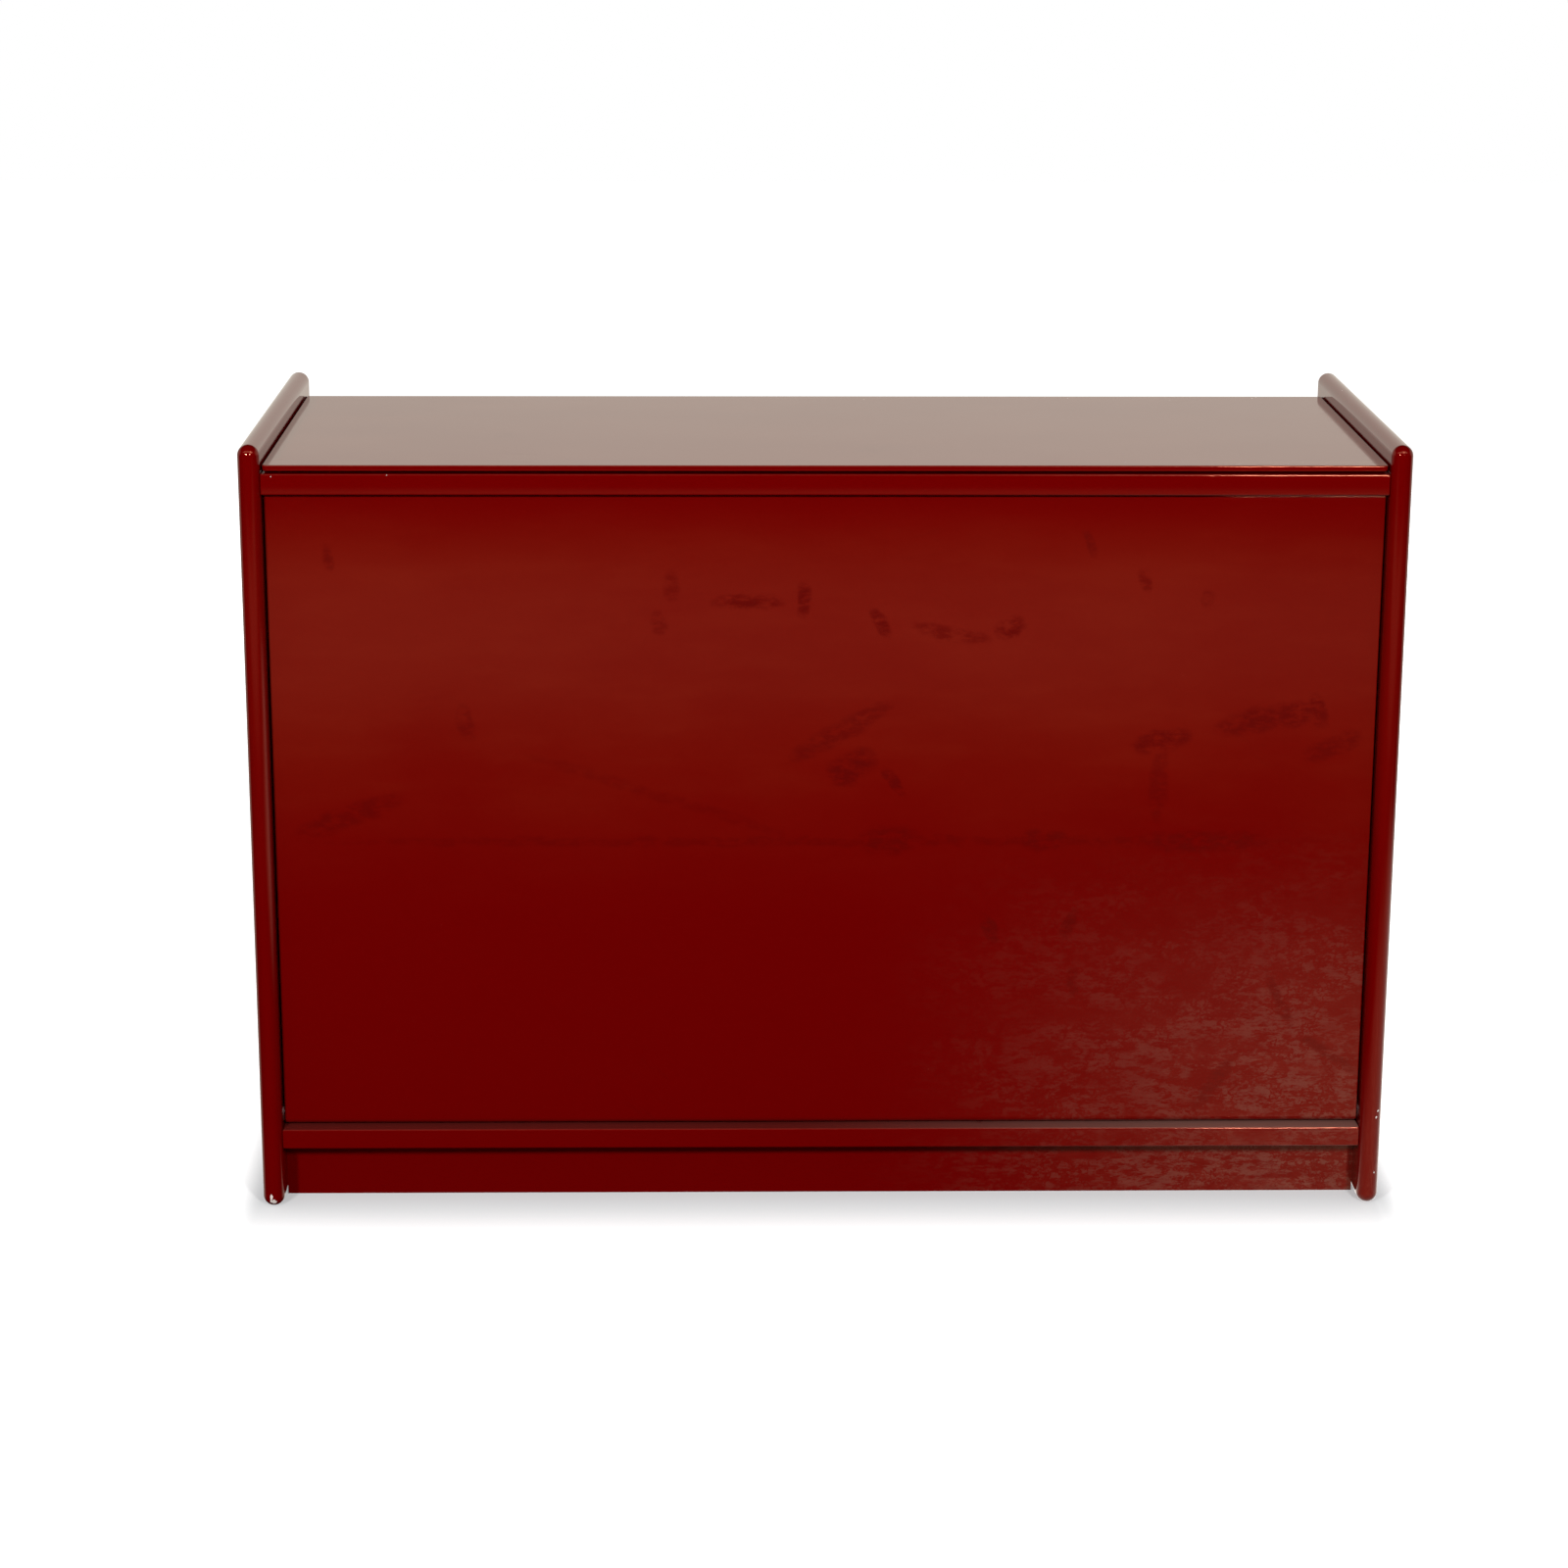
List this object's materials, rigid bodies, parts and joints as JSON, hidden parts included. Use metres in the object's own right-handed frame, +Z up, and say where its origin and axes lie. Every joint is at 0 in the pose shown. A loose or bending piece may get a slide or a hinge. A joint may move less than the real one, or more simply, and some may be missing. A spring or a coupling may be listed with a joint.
{
  "type": "storage cabinet",
  "caption": "Low red lacquered storage cabinet with rounded side panels, a lift-up lid, a drop-front flap on sliding stays and an inner shelf.",
  "frame": {"origin": "on the floor, under the middle of the cabinet's overall box", "axes": "+X to the right seen from the flap side, +Y from the flap to the back, +Z up"},
  "size_m": [1.06, 0.435, 0.73],
  "materials": {
    "red_lacquer": "high-gloss deep red lacquer, lightly scuffed",
    "red_inside": "satin deep red lacquer",
    "beech": "raw beech",
    "nylon": "moulded nylon",
    "felt": "dark felt",
    "white_plastic": "moulded plastic",
    "steel": "brushed nickel-plated steel",
    "zinc": "satin zinc plate"
  },
  "bodies": {
    "carcass": {"left_cheek": "red_lacquer", "right_cheek": "red_lacquer", "bottom_board": "red_lacquer", "top_front_rail": "red_lacquer", "stop_rail": "red_inside", "top_rear_rail": "red_inside", "back_panel": "red_inside", "front_plinth": "red_lacquer", "rear_plinth": "red_inside", "plinth_blocks": "beech", "shelf": "red_inside", "shelf_pins": "steel", "dowels": "beech", "lid_bushes": "nylon", "flap_bushes": "nylon", "lid_buffers": "felt", "flap_buffers": "felt", "latch_bodies": "white_plastic", "flap_stay_plates": "steel", "lid_stay_plates": "steel", "plate_screws": "zinc", "back_screws": "zinc"},
    "lid": {"lid": "red_lacquer", "lid_pins": "steel", "lid_brackets": "steel", "lid_bracket_screws": "zinc", "lid_pivot_pins": "steel"},
    "flap": {"flap": "red_lacquer", "flap_pins": "steel", "flap_brackets": "steel", "flap_bracket_screws": "zinc", "flap_pivot_pins": "steel", "strike_plates": "steel"},
    "flap_stay_left": {"flap_rod_left": "steel", "flap_nut_left": "zinc"},
    "flap_swivel_left": {"flap_guide_left": "zinc"},
    "lid_stay_left": {"lid_rod_left": "steel", "lid_nut_left": "zinc"},
    "lid_swivel_left": {"lid_guide_left": "zinc"},
    "latch_plunger_left": {"latch_plunger_left": "white_plastic"},
    "flap_stay_right": {"flap_rod_right": "steel", "flap_nut_right": "zinc"},
    "flap_swivel_right": {"flap_guide_right": "zinc"},
    "lid_stay_right": {"lid_rod_right": "steel", "lid_nut_right": "zinc"},
    "lid_swivel_right": {"lid_guide_right": "zinc"},
    "latch_plunger_right": {"latch_plunger_right": "white_plastic"}
  },
  "joints": [
    {"name": "lid_hinge", "type": "hinge", "parent": "carcass", "child": "lid", "pos_m": [0, 0.1765, 0.7015], "axis": [-1, 0, 0], "range_deg": [0, 78]},
    {"name": "flap_hinge", "type": "hinge", "parent": "carcass", "child": "flap", "pos_m": [0, -0.191, 0.0875], "axis": [1, 0, 0], "range_deg": [0, 90]},
    {"name": "flap_stay_left_pivot", "type": "hinge", "parent": "flap", "child": "flap_stay_left", "pos_m": [-0.496, -0.1705, 0.26633], "axis": [1, 0, 0], "range_deg": [-45, 0]},
    {"name": "flap_swivel_left_pivot", "type": "hinge", "parent": "carcass", "child": "flap_swivel_left", "pos_m": [-0.496, -0.101, 0.24338], "axis": [1, 0, 0], "range_deg": [0, 45]},
    {"name": "lid_stay_left_pivot", "type": "hinge", "parent": "lid", "child": "lid_stay_left", "pos_m": [-0.496, 0.02791, 0.681], "axis": [-1, 0, 0], "range_deg": [-39, 0]},
    {"name": "lid_swivel_left_pivot", "type": "hinge", "parent": "carcass", "child": "lid_swivel_left", "pos_m": [-0.496, 0.06159, 0.60508], "axis": [-1, 0, 0], "range_deg": [0, 39]},
    {"name": "latch_push_left", "type": "slide", "parent": "carcass", "child": "latch_plunger_left", "axis": [0, 1, 0], "range_m": [0, 0.004], "stiffness_N_per_m": 300},
    {"name": "flap_stay_right_pivot", "type": "hinge", "parent": "flap", "child": "flap_stay_right", "pos_m": [0.496, -0.1705, 0.26633], "axis": [1, 0, 0], "range_deg": [-45, 0]},
    {"name": "flap_swivel_right_pivot", "type": "hinge", "parent": "carcass", "child": "flap_swivel_right", "pos_m": [0.496, -0.101, 0.24338], "axis": [1, 0, 0], "range_deg": [0, 45]},
    {"name": "lid_stay_right_pivot", "type": "hinge", "parent": "lid", "child": "lid_stay_right", "pos_m": [0.496, 0.02791, 0.681], "axis": [-1, 0, 0], "range_deg": [-39, 0]},
    {"name": "lid_swivel_right_pivot", "type": "hinge", "parent": "carcass", "child": "lid_swivel_right", "pos_m": [0.496, 0.06159, 0.60508], "axis": [-1, 0, 0], "range_deg": [0, 39]},
    {"name": "latch_push_right", "type": "slide", "parent": "carcass", "child": "latch_plunger_right", "axis": [0, 1, 0], "range_m": [0, 0.004], "stiffness_N_per_m": 300}
  ],
  "couplings": [
    {"joint": "flap_stay_left_pivot", "follows": "flap_hinge", "ratio": -0.5},
    {"joint": "flap_swivel_left_pivot", "follows": "flap_hinge", "ratio": 0.5},
    {"joint": "lid_stay_left_pivot", "follows": "lid_hinge", "ratio": -0.5},
    {"joint": "lid_swivel_left_pivot", "follows": "lid_hinge", "ratio": 0.5},
    {"joint": "flap_stay_right_pivot", "follows": "flap_hinge", "ratio": -0.5},
    {"joint": "flap_swivel_right_pivot", "follows": "flap_hinge", "ratio": 0.5},
    {"joint": "lid_stay_right_pivot", "follows": "lid_hinge", "ratio": -0.5},
    {"joint": "lid_swivel_right_pivot", "follows": "lid_hinge", "ratio": 0.5}
  ]
}
